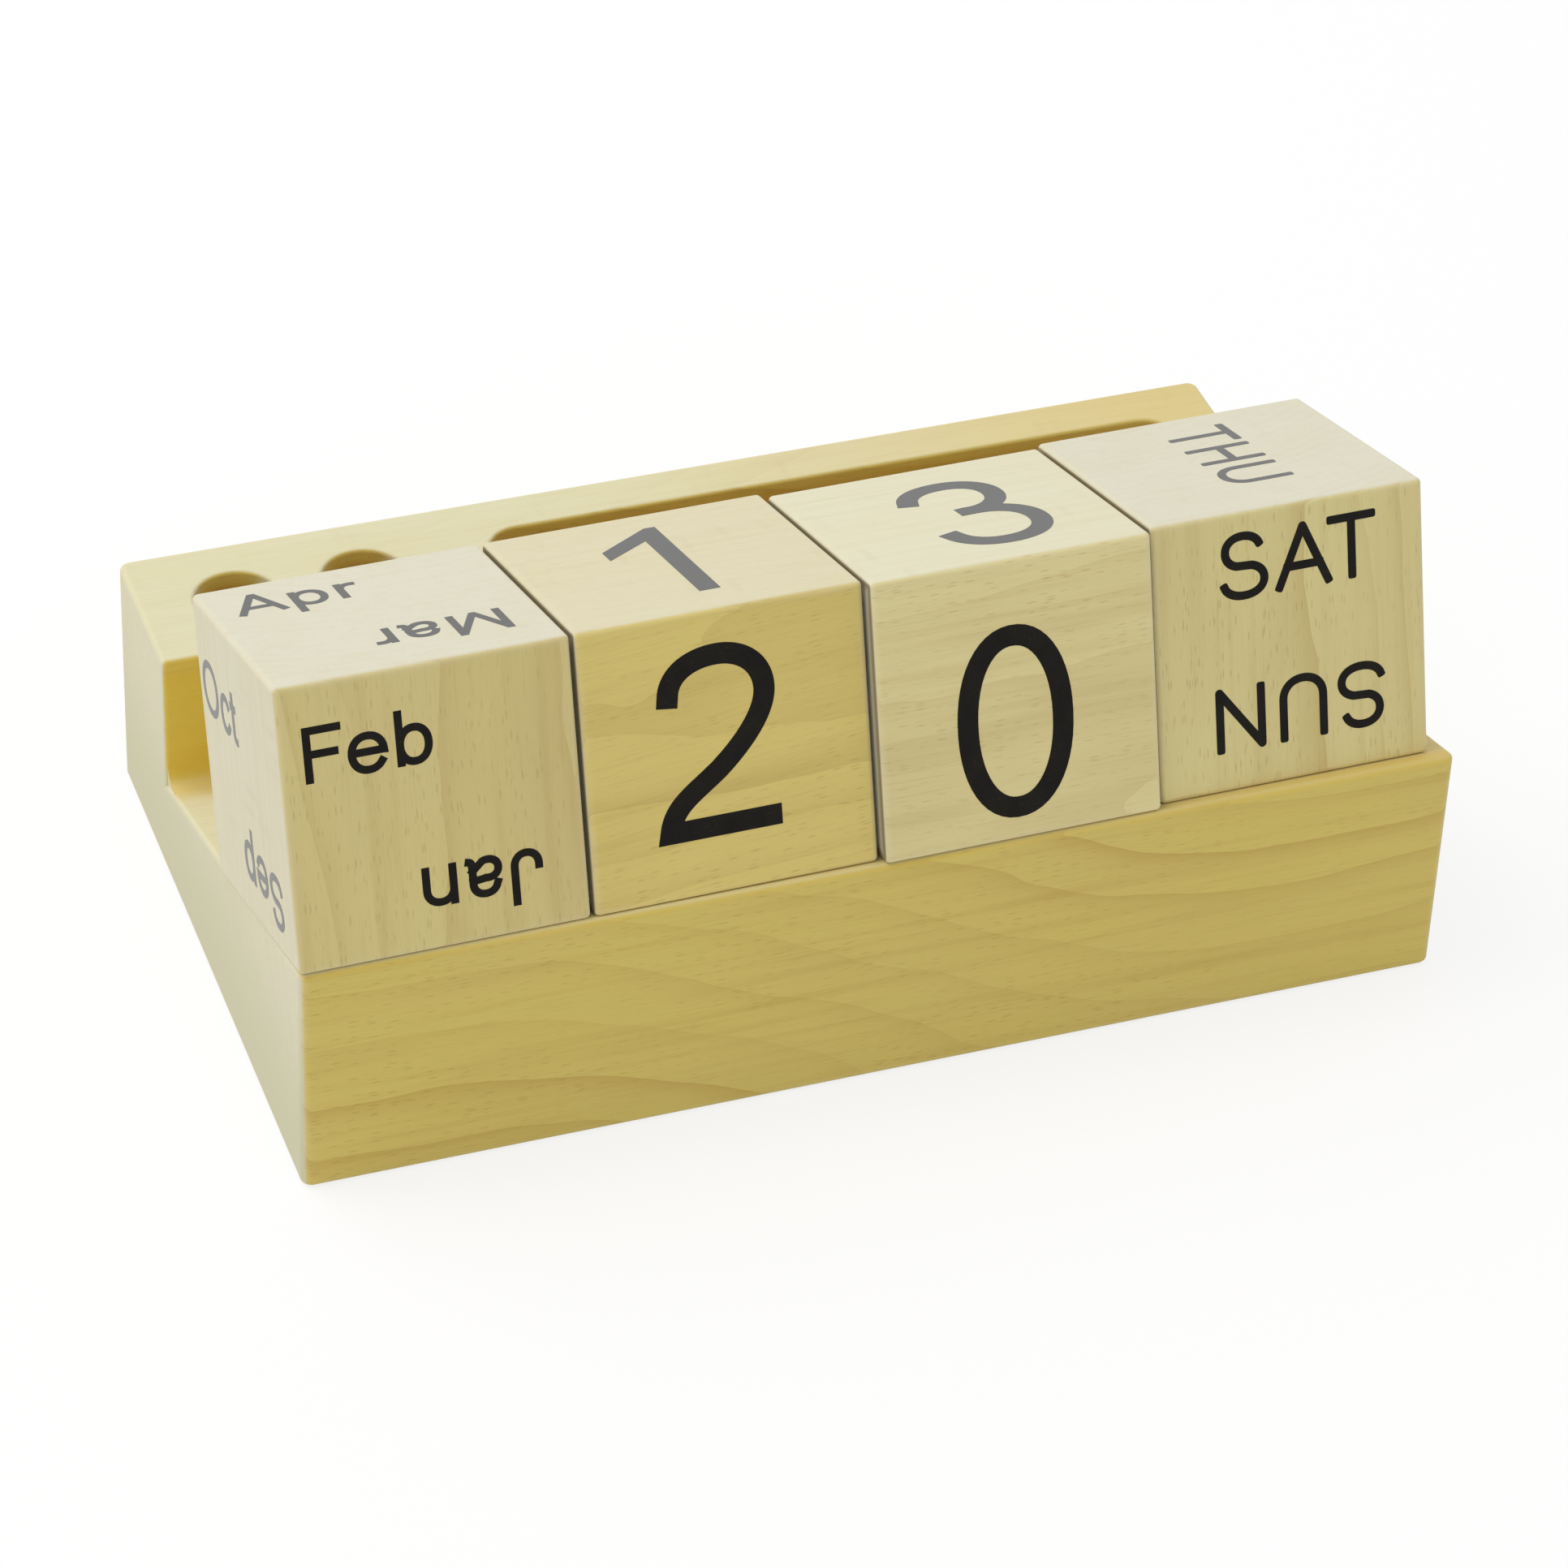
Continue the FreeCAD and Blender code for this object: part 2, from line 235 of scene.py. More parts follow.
def block_painted_shade(start, place, toward):
    """Where shade is painted on the block: each a mask and the tone's name."""
    x, y, z = (start.node("ShaderNodeSeparateXYZ", output=i, inputs={0: place}) for i in range(3))
    to_the_ends = abs(toward((1, 0, 0)))
    # Painted shade on the walls of the pen holes and the slot, between their rounded mouths and
    # their floors
    bore_shade_mask = 1.0 - abs(y - bore_line).rise(0.0066, 0.0070)
    bore_shade_mask = bore_shade_mask * (1.0 - z.rise(block_top - 0.0045, block_top - 0.0006)) * z.rise(0.004, 0.005)
    bore_shade_mask = bore_shade_mask * (1.0 - abs(x).rise(0.0795, 0.0805))
    # Painted shade along the top edge of the front, under the cubes
    lip_shade = 1.0 - y.rise(-0.0466, -0.0446)
    lip_shade = lip_shade * z.rise(block_top - 0.0015, block_top - 0.0007)
    # Painted shade on the face of the riser, below its rounded top edge
    riser = 1.0 - abs(y - riser_line).rise(0.0004, 0.0008)
    riser = riser * toward((0, -1, 0)).rise(0.5, 0.9)
    riser = riser * (1.0 - z.rise(block_top - 0.0030, block_top - 0.0006))
    # Painted shade in the corner between the seat and the riser
    corner = y.rise(riser_line - 0.0085, riser_line - 0.0015)
    corner = corner * (1.0 - y.rise(riser_line, riser_line + 0.0008))
    corner = corner * z.rise(0.012, 0.014) * (1.0 - to_the_ends.rise(0.3, 0.7))
    # Painted shade low on the ends, darker towards the table
    low_end = (1.0 - z.rise(0.004, 0.034)) * to_the_ends.rise(0.55, 0.95)
    # The front's top edge, the riser and the corner get the riser's painted shade tone.
    riser_and_lip_shade = (lip_shade * 0.5).most(riser).most(corner * 0.75)
    return (low_end, "low_end"), (riser_and_lip_shade * 0.8, "riser"), (bore_shade_mask * 0.8, "bore_shade")


# The bore, riser and low_end tones are painted shade; the quarter and end tones are paler partly
# as painted light, and the rubbed tone partly as a painted highlight.
block_tones = {
    "flat": tone(230, 209, 116), "quarter_and_painted_light": tone(237, 233, 196), "far": tone(234, 214, 150),
    "end": tone(236, 231, 202), "warm": tone(228, 204, 122), "late": tone(188, 148, 62),
    "ray": tone(164, 128, 56), "wear_and_painted_highlight": tone(240, 228, 182), "bore_shade": tone(200, 152, 44),
    "riser": tone(236, 204, 78), "low_end": tone(219, 215, 181),
}
block_wood = wood("block_wood", grain=(1, 0, 0), outward=(0, -1, 0), heart=(0, 0.075, -0.035),
                  half_size=(high - low) / 2, turned=(0, 0, 0), middle=(low + high) / 2,
                  tones=block_tones, ring=0.0035, swirl=(0.0155, -0.060, 0.055), shade_places=block_painted_shade)
frame["nodes"]["holder_block"].material_slots[0].material = block_wood

# The cutter's rounded corner leaves a hollow along the foot of the riser, tangent to the riser
# and to the seat. It is spun from a strip that reaches a little into both. First come the height
# at which the seat meets the riser and how steeply it falls towards it.
seat_foot, seat_slope = 0.0156, math.radians(17.0)
hollow_radius, hollow_sunk, hollow_steps, end_margin = 0.0026, 0.0003, 10, 0.0004
hollow_height = hollow_radius / math.tan((math.pi / 2 - seat_slope) / 2)
bpy.ops.object.select_all(action="DESELECT")
bpy.ops.mesh.primitive_plane_add(size=1.0, location=(
    (low.x + high.x) / 2, riser_line + hollow_sunk / 2, seat_foot + hollow_height))
hollow = bpy.context.object
hollow.name = "block_foot_hollow"
hollow.scale = (high.x - low.x - 2 * end_margin, hollow_sunk, 1.0)
bpy.ops.object.transform_apply(location=True, rotation=True, scale=True)


def pick(piece, wanted):
    """Selects, in edit mode, the edges of a piece whose both ends are wanted."""
    bpy.ops.object.mode_set(mode="EDIT")
    bpy.ops.mesh.select_mode(type="EDGE")
    bpy.ops.mesh.select_all(action="DESELECT")
    bpy.ops.object.mode_set(mode="OBJECT")
    for edge in piece.data.edges:
        edge.select = all(wanted(piece.data.vertices[i].co) for i in edge.vertices)
    bpy.ops.object.mode_set(mode="EDIT")


pick(hollow, lambda co: co.y < riser_line + hollow_sunk * 0.5)
bpy.ops.mesh.spin(steps=hollow_steps, angle=math.pi / 2 + seat_slope, axis=(1, 0, 0),
                  center=(0, riser_line - hollow_radius, seat_foot + hollow_height))
bpy.ops.mesh.extrude_region_move(TRANSFORM_OT_translate={
    "value": (0, -hollow_sunk * math.sin(seat_slope), -hollow_sunk * math.cos(seat_slope))})
bpy.ops.mesh.extrude_region_move(TRANSFORM_OT_translate={"value": (
    0, hollow_height * math.cos(seat_slope) + hollow_sunk * (1 + math.sin(seat_slope)),
    -hollow_height * math.sin(seat_slope))})
# Its back, then its two ends
pick(hollow, lambda co: co.y > riser_line + hollow_sunk * 0.9)
bpy.ops.mesh.edge_face_add()
bpy.ops.mesh.select_all(action="SELECT")
bpy.ops.mesh.fill_holes(sides=0)
bpy.ops.mesh.select_all(action="SELECT")
bpy.ops.mesh.normals_make_consistent(inside=False)
bpy.ops.object.mode_set(mode="OBJECT")
bpy.ops.object.shade_smooth_by_angle(angle=math.radians(35))
hollow.data.materials.append(block_wood)
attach(hollow, "block")


# ---------------------------------------------------------------------------------------------
# Month cube: a loose 40.5 mm cube whose grain stands upright in the row. Two months are printed on
# each face, one the right way up and one upside down, in a plain upright letter.

lift_way = Vector(frame["joints"][0]["axis"])
row_turn = math.radians(1.0)
level_way = Vector((1, 0, 0))
right_way = level_way * math.cos(row_turn) + lift_way.cross(level_way) * math.sin(row_turn)
back_way = lift_way.cross(right_way)
cube_turn = Matrix((right_way, back_way, lift_way)).transposed()
cube_half = 0.02025


def cube_middle(node):
    cube_low, cube_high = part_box(node)
    return (cube_low + cube_high) / 2


def cube_wood(node, grain, outward, heart_back, heart_side, ring, tones, seams):
    """The material of one cube, the heart of its trunk lying behind the face that it shows. Shade
    is painted along its edges where it meets something, on the sides that seams gives as outward
    directions."""
    middle = cube_middle(node)
    side_way = Vector(grain).cross(Vector(outward))
    heart = middle - Vector(outward) * heart_back + side_way * heart_side
    return wood(node + "_wood", grain, outward, heart, (cube_half,) * 3, cube_turn.to_euler(),
                middle, tones, ring, seams=seams)


# The quarter and end tones are paler partly as painted light, the rubbed tone is paler partly as a
# painted highlight, and the seam tone is painted shade.
cube_tones = {
    "flat": tone(232, 216, 148), "quarter_and_painted_light": tone(236, 230, 202), "far": tone(236, 230, 202),
    "end": tone(235, 231, 210), "warm": tone(228, 208, 148), "late": tone(196, 166, 96),
    "ray": tone(158, 124, 64), "wear_and_painted_highlight": tone(242, 232, 198), "seam_shade": tone(112, 90, 22),
}
month_wood = cube_wood("month_cube", lift_way, -back_way, 0.055, 0.012, 0.0023, cube_tones,
                       (right_way, -lift_way))
frame["nodes"]["month_cube"].material_slots[0].material = month_wood

# Letters and numerals are drawn as pen strokes. Lengths are in the height of a capital between
# the middles of its strokes. Each letter: space before it, space after it, then its strokes.
letters = {
    "A": (.03, .03, [[(0, 0), (.40, 1), (.44, 1), (.84, 0)], [(.15, .30), (.69, .30)]]),
    "D": (.14, .07, [[(0, 0), (0, 1), (.33, 1), ("arc", .33, .5, .46, .5, 90, -90), (0, 0)]]),
    "F": (.14, .00, [[(.62, 1), (0, 1), (0, 0)], [(0, .51), (.54, .51)]]),
    "J": (.03, .07, [[(.50, 1), ("arc", .25, .27, .25, .27, 0, -180), (0, .30)]]),
    "M": (.13, .13, [[(0, 0), (0, 1), (.02, 1), (.465, 0), (.485, 0), (.93, 1), (.95, 1),
                      (.95, 0)]]),
    "N": (.13, .13, [[(0, 0), (0, 1), (.02, 1), (.73, 0), (.75, 0), (.75, 1)]]),
    "O": (.07, .07, [[("arc", .485, .5, .485, .515, 0, 360)]]),
    "S": (.08, .08, [[("arc", .375, .755, .325, .26, 12, 250),
                      ("arc", .38, .245, .375, .26, 68, -168)]]),
    "a": (.07, .03, [[(.03, .50), ("arc", .28, .46, .248, .235, 165, 0), (.528, .10),
                      ("arc", .60, .10, .072, .115, 180, 265)],
                     [(.528, .40), (.29, .372), ("arc", .212, .178, .212, .193, 75, 300),
                      (.528, .19)]]),
    "b": (.10, .07, [[(0, 1), (0, 0)], [("arc", .288, .341, .288, .352, 0, 360)]]),
    "c": (.06, .04, [[("arc", .285, .341, .285, .352, 38, 322)]]),
    "e": (.06, .03, [[(.02, .364), (.645, .364), ("arc", .325, .341, .325, .352, 3, 325)]]),
    "g": (.06, .10, [[(.565, .70), (.565, -.10), ("arc", .29, -.10, .275, .25, 0, -160)],
                     [("arc", .283, .341, .283, .352, 0, 360)]]),
    "l": (.11, .11, [[(0, 0), (0, 1)]]),
    "n": (.11, .10, [[(0, 0), (0, .70)],
                     [(0, .38), ("arc", .275, .42, .275, .272, 180, 0), (.55, 0)]]),
    "o": (.06, .06, [[("arc", .31, .341, .31, .352, 0, 360)]]),
    "p": (.10, .07, [[(0, .70), (0, -.338)], [("arc", .288, .341, .288, .352, 0, 360)]]),
    "r": (.11, .00, [[(0, 0), (0, .70)], [(0, .38), ("arc", .24, .42, .24, .27, 180, 82)]]),
    "t": (.02, .03, [[(.11, .92), (.11, .14), ("arc", .235, .14, .125, .15, 180, 285)],
                     [(0, .682), (.25, .682)]]),
    "u": (.10, .11, [[(0, .70), ("arc", .275, .262, .275, .272, 180, 360)],
                     [(.55, .70), (.55, 0)]]),
    "v": (.02, .02, [[(0, .70), (.29, 0), (.31, 0), (.60, .70)]]),
    "y": (.02, .02, [[(0, .70), (.30, 0)],
                     [(.60, .70), (.31, -.14), ("arc", .10, -.14, .20, .21, -5, -100)]]),
}
# Degrees between the points of an arc; how square an arc is, an ellipse's being 2; the steps of
# a curve; the shortest step kept
arc_step, fullness, curve_steps, shortest = 7.0, 2.15, 18, 1e-4


def follow(stroke):
    """The points along one pen stroke, its arcs and curves divided finely."""
    points = []
    for item in stroke:
        if item[0] == "arc":
            cx, cy, rx, ry, first, last = item[1:]
            steps = max(2, round(abs(last - first) / arc_step))
            for i in range(steps + 1):
                angle = math.radians(first + (last - first) * i / steps)
                c, s = math.cos(angle), math.sin(angle)
                points.append((cx + rx * math.copysign(abs(c) ** (2 / fullness), c),
                               cy + ry * math.copysign(abs(s) ** (2 / fullness), s)))
        elif item[0] == "curve":
            x0, y0 = points[-1]
            x1, y1, x2, y2, x3, y3 = item[1:]
            for i in range(1, curve_steps + 1):
                t = i / curve_steps
                a, b, c, d = (1 - t) ** 3, 3 * t * (1 - t) ** 2, 3 * t * t * (1 - t), t ** 3
                points.append((a * x0 + b * x1 + c * x2 + d * x3,
                               a * y0 + b * y1 + c * y2 + d * y3))
        else:
            points.append(item)
    kept = [Vector(points[0])]
    for point in points[1:]:
        if (Vector(point) - kept[-1]).length > shortest:
            kept.append(Vector(point))
    return kept


def ribbon(points, half, round_ends):
    """Flat pieces that together cover a pen stroke of that half width along the points."""
    # How far a corner goes on: 2 is straight on, 0 is back the way it came
    rounded_below, pointed_above = 1.7, 0.35
    disc_sides, cap_steps = 24, 12
    closed = (points[0] - points[-1]).length < 1e-3
    pieces = []
    ways = [(b - a).normalized() for a, b in zip(points, points[1:])]
    for a, b, way in zip(points, points[1:], ways):
        side = Vector((-way.y, way.x)) * half
        pieces.append([a - side, b - side, b + side, a + side])
    joints = [(points[i + 1], ways[i], ways[i + 1]) for i in range(len(ways) - 1)]
    if closed:
        joints.append((points[0], ways[-1], ways[0]))
    for point, before, after in joints:
        turn = before.x * after.y - before.y * after.x
        if abs(turn) < 1e-4:
            continue
        hand = -1 if turn > 0 else 1
        side_a = Vector((-before.y, before.x)) * half * hand
        side_b = Vector((-after.y, after.x)) * half * hand
        onward = 1 + before.dot(after)
        if round_ends and onward < rounded_below:
            pieces.append([point + Vector((math.cos(t), math.sin(t))) * half
                           for t in (math.tau * i / disc_sides for i in range(disc_sides))])
            continue
        corner = [point, point + side_a, point + side_b]
        if onward > pointed_above:
            corner.insert(2, point + (side_a + side_b) / onward)
        pieces.append(corner if hand < 0 else corner[::-1])
    if not closed:
        for point, way in ((points[0], -ways[0]), (points[-1], ways[-1])):
            side = Vector((-way.y, way.x)) * half
            if round_ends:
                turns = [math.radians(90 - 180 * i / cap_steps) for i in range(cap_steps + 1)]
                pieces.append([point + side * math.copysign(abs(math.sin(t)) ** 0.5, t)
                               + way * half * abs(math.cos(t)) ** 0.5 for t in turns][::-1])
            else:
                reach = way * half
                pieces.append([point - side, point - side + reach,
                               point + side + reach, point + side])
    return pieces


def set_word(word, alphabet, height, pen, spacing, round_ends=False):
    """Flat pieces of a whole word and its width. height is a capital's, pen the stroke's width;
    the word starts at 0, and its baseline is at 0."""
    unit = height - pen
    pieces, cursor = [], 0.0
    for place, letter in enumerate(word):
        before, after, strokes = alphabet[letter]
        if place:
            cursor += before * unit
        width = 0.0
        for stroke in strokes:
            filled = stroke[0] == "outline"
            points = [Vector(point) for point in stroke[1:]] if filled else follow(stroke)
            moved = [Vector((cursor + pen / 2 + point.x * unit, pen / 2 + point.y * unit))
                     for point in points]
            pieces += [moved] if filled else ribbon(moved, pen / 2, round_ends)
            reach = max(point.x for point in moved) + (0.0 if filled else pen / 2)
            width = max(width, reach - cursor)
        cursor += width
        if place < len(word) - 1:
            cursor += (after + spacing) * unit
    return pieces, cursor


def faces_of(node):
    """The six faces of a cube, each as its middle, rightwards, upwards and outwards."""
    middle = cube_middle(node)
    ways = {
        "front": (right_way, lift_way, -back_way), "top": (right_way, back_way, lift_way),
        "left": (-back_way, lift_way, -right_way), "right": (back_way, lift_way, right_way),
        "back": (-right_way, lift_way, back_way), "bottom": (right_way, -back_way, -lift_way),
    }
    return {name: (middle + out * cube_half, across, up, out)
            for name, (across, up, out) in ways.items()}


# How far the ink goes into the wood, and how far it stands on it
ink_depth, ink_above = 0.00002, 0.00003


def ink_print(name, node, layout, material):
    """One thin closed layer of ink for all the words on a cube. layout has one entry for each
    word: face, flat pieces, where its lower left corner goes from the face's middle, turn."""
    points, faces = [], []
    for face, pieces, corner, turn in layout:
        spot, across, up, out = faces_of(node)[face]
        flat = [point for piece in pieces for point in piece]
        numbers, count = [], 0
        for piece in pieces:
            numbers.append(list(range(count, count + len(piece))))
            count += len(piece)
        in_mm = [Vector(point) * 1000 for point in flat]
        united, _, triangles, _, _, source = delaunay_2d_cdt(in_mm, [], numbers, 0, 1e-4)
        first = len(points)
        angle = math.radians(turn)
        for point in united:
            x = corner[0] + (point.x * math.cos(angle) - point.y * math.sin(angle)) / 1000
            y = corner[1] + (point.x * math.sin(angle) + point.y * math.cos(angle)) / 1000
            points.append(spot + across * x + up * y - out * ink_depth)
        # A triangle that comes from no flat piece is the bare wood inside or between letters
        faces += [[first + i for i in triangle]
                  for triangle, from_pieces in zip(triangles, source) if from_pieces]
    mesh = bpy.data.meshes.new(name)
    mesh.from_pydata(points, [], faces)
    piece = bpy.data.objects.new(name, mesh)
    bpy.context.scene.collection.objects.link(piece)
    bpy.ops.object.select_all(action="DESELECT")
    bpy.context.view_layer.objects.active = piece
    piece.select_set(True)
    bpy.ops.object.mode_set(mode="EDIT")
    bpy.ops.mesh.select_all(action="SELECT")
    bpy.ops.mesh.delete_loose()
    bpy.ops.mesh.select_all(action="SELECT")
    bpy.ops.mesh.dissolve_limited(angle_limit=math.radians(0.5))
    bpy.ops.mesh.quads_convert_to_tris()
    bpy.ops.object.mode_set(mode="OBJECT")
    thickness = piece.modifiers.new("thickness", "SOLIDIFY")
    thickness.thickness = ink_depth + ink_above
    thickness.offset = 1.0
    bpy.ops.object.modifier_apply(modifier="thickness")
    piece.data.materials.append(material)
    return piece


def printing_ink():
    """Black ink rolled onto bare wood, thin in places where the grain lies deeper."""
    made = bpy.data.materials.new("print_ink")
    made.use_nodes = True
    tree = made.node_tree
    shader = tree.nodes["Principled BSDF"]
    start = Wire(tree)
    place = start.node("ShaderNodeTexCoord", output="Object")
    speckle = start.node("ShaderNodeTexNoise", inputs={
        "Vector": place, "Scale": 5200.0, "Detail": 2.0})
    patch = start.node("ShaderNodeTexNoise", inputs={
        "Vector": place, "Scale": 260.0, "Detail": 3.0})
    thin = speckle.rise(0.60, 0.78) * (0.35 + 0.65 * patch.rise(0.45, 0.7))
    full_ink, dry_ink, wood_through = tone(20, 18, 15), tone(28, 26, 21), tone(110, 94, 56)
    colour = patch.rise(0.3, 0.7).blend(full_ink, dry_ink)
    colour = (thin * 0.4).blend(colour, wood_through)
    tree.links.new(colour.socket, shader.inputs["Base Color"])
    rough = 0.42 + 0.16 * patch + 0.12 * thin
    tree.links.new(rough.socket, shader.inputs["Roughness"])
    shader.inputs["Specular IOR Level"].default_value = 0.12
    # Square on it is dead matt; seen along the face it carries a grey sheen
    slant = start.node("ShaderNodeLayerWeight", output="Facing", inputs={"Blend": 0.5})
    sheen = slant.rise(0.25, 0.80) * (1.0 - 0.5 * thin)
    tree.links.new(sheen.socket, shader.inputs["Coat Weight"])
    shader.inputs["Coat IOR"].default_value = 1.9
    shader.inputs["Coat Roughness"].default_value = 0.35
    bump = start.node("ShaderNodeBump", inputs={
        "Height": speckle, "Strength": 0.15, "Distance": 0.0001})
    tree.links.new(bump.socket, shader.inputs["Normal"])
    return made


ink = printing_ink()
month_height, month_pen, month_spacing = 0.00785, 0.00110, 0.03
# For each word: its face, where it starts and where its baseline is from the face's middle, and
# its turn
month_words = (
    ("front", "Feb", -0.0169, 0.0063, 0), ("front", "Jan", 0.0141, -0.0084, 180),
    ("top", "Apr", -0.0166, 0.0080, 0), ("top", "Mar", 0.0150, -0.0058, 180),
    ("left", "Oct", -0.0180, 0.0046, 0), ("left", "Sep", 0.0150, -0.0089, 180),
    ("right", "Jun", -0.0165, 0.0066, 0), ("right", "May", 0.0147, -0.0078, 180),
    ("back", "Aug", -0.0168, 0.0068, 0), ("back", "Jul", 0.0144, -0.0072, 180),
    ("bottom", "Dec", -0.0164, 0.0064, 0), ("bottom", "Nov", 0.0149, -0.0075, 180),
)
month_layout = []
for face, word, across, base, turn in month_words:
    pieces, _ = set_word(word, letters, month_height, month_pen, month_spacing)
    month_layout.append((face, pieces, (across, base), turn))
month_print = ink_print("month_print", "month_cube", month_layout, ink)
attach(month_print, "month")


# ---------------------------------------------------------------------------------------------
# Tens cube: a loose 40.5 mm cube with its grain lying along the row. One large numeral is printed
# on each face; its own are 0, 1, 2, 6, 7 and 8, and the 6 serves as 9 when it is turned.

numerals = {
    "0": (0, 0, [[("arc", .285, .5, .285, .512, 0, 360)]]),
    "1": (0, 0, [["outline", (.217, -.062), (.340, -.062), (.340, 1.062), (.274, 1.062),
                  (-.062, .790), (-.062, .643), (.217, .858)]]),
    "2": (0, 0, [[(.035, .796), ("curve", .045, .93, .175, 1.002, .326, 1.002),
                  ("curve", .485, 1.002, .594, .90, .594, .759),
                  ("curve", .594, .62, .46, .46, .305, .33),
                  ("curve", .14, .205, .025, .16, 0, 0), (.59, 0)]]),
    "3": (0, 0, [[("arc", .262, .776, .26, .226, 169, 90), ("arc", .262, .776, .24, .226, 90, 0),
                  ("arc", .262, .776, .24, .237, 0, -90)],
                 [("arc", .30, .27, .28, .27, 90, -90), ("arc", .30, .27, .27, .27, -90, -164)]]),
    "4": (0, 0, [[(.44, 0), (.44, 1)], [(.44, 1), (.42, 1), (0, .30), (0, .27), (.60, .27)]]),
    "5": (0, 0, [[(.53, 1), (.11, 1), (.06, .50)],
                 [("arc", .28, .31, .29, .31, 126, 0), ("arc", .28, .31, .29, .31, 0, -164)]]),
    "6": (0, 0, [[("arc", .285, .30, .285, .30, 0, 360)], [("arc", .30, .72, .29, .285, 11, 90),
                 ("arc", .30, .72, .30, .285, 90, 180), (0, .30)]]),
    "7": (0, 0, [[(0, 1), (.57, 1), ("curve", .38, .72, .21, .40, .18, 0)]]),
    "8": (0, 0, [[("arc", .285, .77, .24, .232, 0, 360)],
                 [("arc", .285, .27, .285, .27, 0, 360)]]),
}
numeral_height, numeral_pen = 0.02725, 0.0030


def numeral_layout(faces):
    """faces gives for each face its numeral and how far that is from the face's middle."""
    layout = []
    for face, (numeral, sideways, upwards) in faces.items():
        pieces, width = set_word(numeral, numerals, numeral_height, numeral_pen, 0)
        layout.append((face, pieces, (sideways - width / 2, upwards - numeral_height / 2), 0))
    return layout


# Its grain climbs a little towards the right
tens_grain = (Vector((0.995, 0, 0)) + lift_way * 0.09).normalized()
tens_wood = cube_wood("date_tens_cube", tens_grain, -back_way, 0.045, -0.014, 0.0026,
                      {**cube_tones, "flat": tone(237, 216, 129), "warm": tone(227, 204, 121),
                       "quarter_and_painted_light": tone(234, 226, 192), "far": tone(234, 226, 192)},
                      (right_way, -right_way, -lift_way))
frame["nodes"]["date_tens_cube"].material_slots[0].material = tens_wood
tens_print = ink_print("date_tens_print", "date_tens_cube", numeral_layout({
    "front": ("2", -0.0017, 0.0017), "top": ("1", -0.0021, 0.0005), "left": ("6", 0, 0),
    "right": ("7", 0, 0), "back": ("0", 0, 0), "bottom": ("8", 0, 0),
}), ink)
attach(tens_print, "date_tens")


# ---------------------------------------------------------------------------------------------
# Units cube: the same kind of cube and numeral, with 0, 1, 2, 3, 4 and 5 on its faces, so that
# the two date cubes together give every day from 01 to 31.

units_wood = cube_wood("date_units_cube", right_way, -back_way, 0.060, 0.010, 0.0030,
                       {**cube_tones, "flat": tone(245, 233, 171), "quarter_and_painted_light": tone(240, 236, 206)},
                       (right_way, -right_way, -lift_way))
frame["nodes"]["date_units_cube"].material_slots[0].material = units_wood
units_print = ink_print("date_units_print", "date_units_cube", numeral_layout({
    "front": ("0", -0.0006, -0.0031), "top": ("3", 0.0025, -0.0008), "left": ("4", 0, 0),
    "right": ("5", 0, 0), "back": ("1", 0, 0), "bottom": ("2", 0, 0),
}), ink)
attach(units_print, "date_units")


# ---------------------------------------------------------------------------------------------
# Weekday cube: a loose 40.5 mm cube with upright grain. Short names of the days are printed in a
# round-ended capital; Saturday and Sunday share one face, head to foot.

capitals = {
    "A": (.04, -.06, [[(0, 0), (.435, 1), (.87, 0)], [(.145, .33), (.725, .33)]]),
    "D": (.14, .08, [[(0, 0), (0, 1), (.28, 1), ("arc", .28, .5, .44, .5, 90, -90), (0, 0)]]),
    "E": (.14, .06, [[(.56, 1), (0, 1), (0, 0), (.58, 0)], [(0, .52), (.50, .52)]]),
    "F": (.14, .03, [[(.56, 1), (0, 1), (0, 0)], [(0, .52), (.50, .52)]]),
    "H": (.14, .14, [[(0, 0), (0, 1)], [(.68, 0), (.68, 1)], [(0, .52), (.68, .52)]]),
    "I": (.14, .14, [[(0, 0), (0, 1)]]),
    "M": (.14, .14, [[(0, 0), (0, 1), (.44, .05), (.88, 1), (.88, 0)]]),
    "N": (.14, .14, [[(0, 0), (0, 1), (.74, 0), (.74, 1)]]),
    "O": (.08, .08, [[("arc", .46, .5, .46, .51, 0, 360)]]),
    "R": (.14, .04, [[(0, 0), (0, 1), (.38, 1), ("arc", .38, .75, .27, .25, 90, -90), (0, .50)],
                     [(.38, .50), (.66, 0)]]),
    "S": (.08, .08, [[("arc", .36, .75, .31, .26, 22, 250),
                      ("arc", .37, .245, .36, .26, 68, -165)]]),
    "T": (-.02, .02, [[(0, 1), (.73, 1)], [(.365, 1), (.365, 0)]]),
    "U": (.11, .11, [[(0, 1), (0, .345), ("arc", .358, .345, .358, .352, 180, 360), (.716, 1)]]),
    "W": (.03, .03, [[(0, 1), (.27, 0), (.54, .96), (.81, 0), (1.08, 1)]]),
}
day_height, day_pen, lone_base = 0.0096, 0.00122, -0.00465

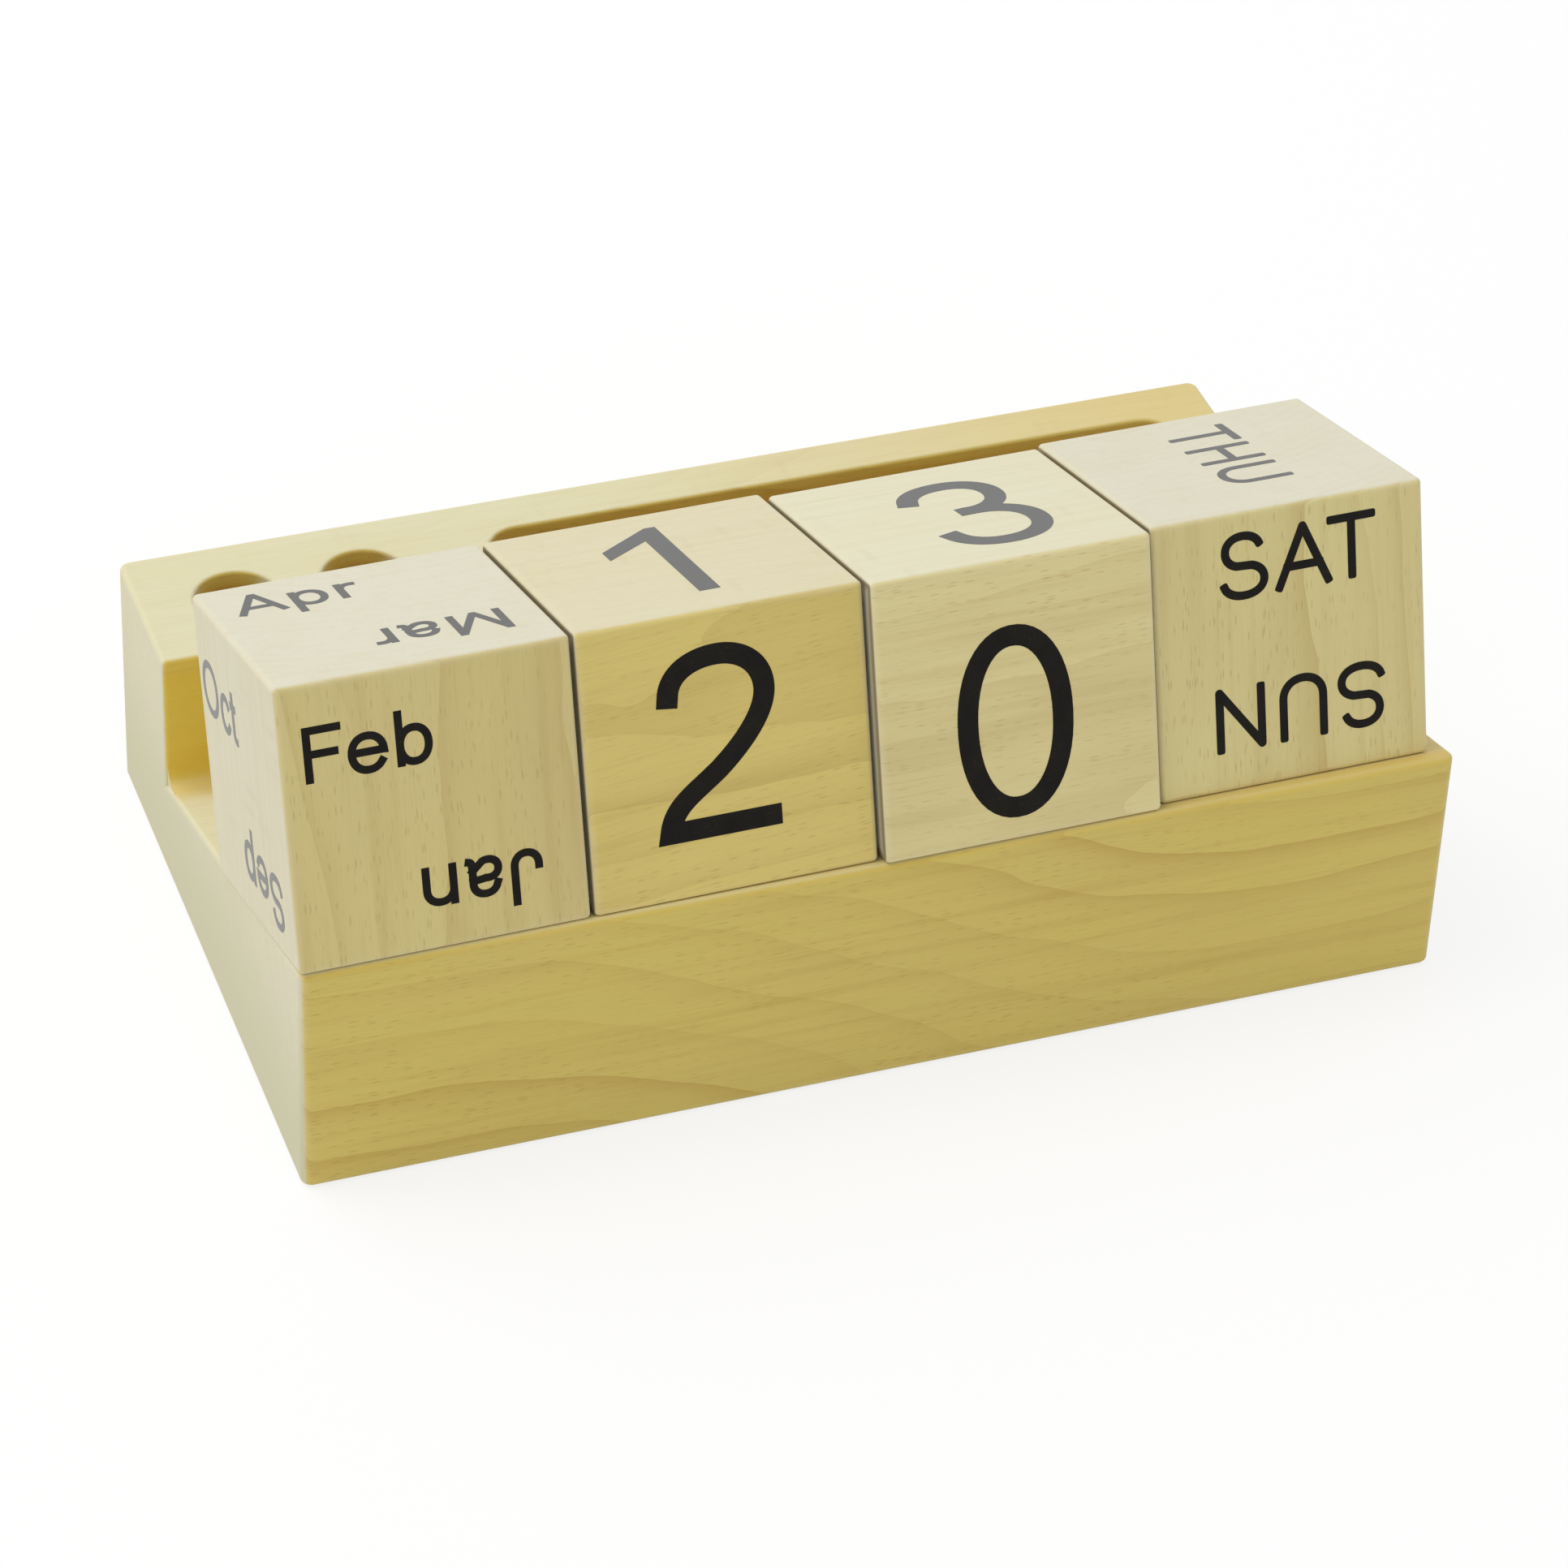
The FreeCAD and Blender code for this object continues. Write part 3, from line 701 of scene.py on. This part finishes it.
weekday_wood = cube_wood("weekday_cube", lift_way, -back_way, 0.075, -0.016, 0.0022,
                         {**cube_tones, "flat": tone(237, 224, 159)}, (-right_way, -lift_way))
frame["nodes"]["weekday_cube"].material_slots[0].material = weekday_wood
day_layout = []
for face, name, sideways, base, turn in (
        ("front", "SAT", 0.0013, 0.0076, 0), ("front", "SUN", 0.0012, -0.0049, 180),
        ("top", "THU", -0.0038, 0.0024, 270), ("left", "MON", 0.0, lone_base, 0),
        ("right", "TUE", 0.0, lone_base, 0), ("back", "WED", 0.0, lone_base, 0),
        ("bottom", "FRI", 0.0, lone_base, 0)):
    pieces, width = set_word(name, capitals, day_height, day_pen, 0.0, round_ends=True)
    if turn == 0:
        corner = (sideways - width / 2, base)
    elif turn == 180:
        corner = (sideways + width / 2, base)
    else:
        corner = (sideways, base + width / 2)
    day_layout.append((face, pieces, corner, turn))
weekday_print = ink_print("weekday_print", "weekday_cube", day_layout, ink)
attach(weekday_print, "weekday")


# ---------------------------------------------------------------------------------------------
# Studio: a white table under a large soft lamp in an even white room, and the camera where the
# photographer stood. What is seen of table and room is brighter than what lights the calendar,
# because the background was cut out to white.

table_size, table_top = 6.0, -0.0002
bpy.ops.object.select_all(action="DESELECT")
bpy.ops.mesh.primitive_plane_add(size=table_size, location=(0, 0, table_top))
table = bpy.context.object
table.name = "table"
table_white = bpy.data.materials.new("table_white")
table_white.use_nodes = True
tree = table_white.node_tree
shader = tree.nodes["Principled BSDF"]
shader.inputs["Base Color"].default_value = (0.86, 0.86, 0.86, 1)
shader.inputs["Roughness"].default_value = 0.9
shader.inputs["Specular IOR Level"].default_value = 0.1


def seen(tree):
    """1 for the rays that the camera sees a surface by, 0 for those that light it."""
    camera_ray, glossy_ray, transmission_ray = (
        Wire(tree).node("ShaderNodeLightPath", output=f"Is {kind} Ray")
        for kind in ("Camera", "Glossy", "Transmission"))
    return camera_ray.most(glossy_ray).most(transmission_ray)


cut_out = 0.70
lit = Wire(tree, shader.outputs[0])
white = lit.node("ShaderNodeEmission", inputs={"Color": (1, 1, 1, 1), "Strength": 1.1})
surface = lit.node("ShaderNodeMixShader", inputs={0: seen(tree) * cut_out, 1: lit, 2: white})
tree.links.new(surface.socket, tree.nodes["Material Output"].inputs["Surface"])
table.data.materials.append(table_white)

world = bpy.data.worlds.new("studio")
bpy.context.scene.world = world
world.use_nodes = True
background = world.node_tree.nodes["Background"]
background.inputs["Color"].default_value = (1, 1, 1, 1)
room_light = 0.62
strength = room_light + (1.0 - room_light) * seen(world.node_tree)
world.node_tree.links.new(strength.socket, background.inputs["Strength"])

lamp_place, lamp_aim = Vector((-0.7, 0.5, 1.5)), Vector((0, 0, 0.03))
softbox = bpy.data.lights.new("overhead_softbox", "AREA")
softbox.shape = "SQUARE"
softbox.size = 1.2
softbox.energy = 10.5
lamp = bpy.data.objects.new("overhead_softbox", softbox)
lamp.location = lamp_place
lamp.rotation_euler = (lamp_aim - lamp_place).to_track_quat("-Z", "Y").to_euler()
bpy.context.scene.collection.objects.link(lamp)

# The lens, the place and the turn that were fitted to the edges of the cubes and the block
camera = bpy.data.objects.new("camera", bpy.data.cameras.new("camera"))
bpy.context.scene.collection.objects.link(camera)
camera_place = (-0.24275, -0.64035, 0.54903)
rightwards = Vector((0.94341, -0.32958, 0.03688))
forwards = Vector((0.28137, 0.73661, -0.61502))
upwards = rightwards.cross(forwards)
camera.matrix_world = Matrix.Translation(camera_place) @ Matrix(
    (rightwards, upwards, -forwards)).transposed().to_4x4()
camera.data.sensor_width = 36.0
camera.data.lens = 139.173
camera.data.clip_start = 0.05
camera.data.clip_end = 20.0
bpy.context.scene.camera = camera
bpy.context.scene.view_settings.view_transform = "Standard"
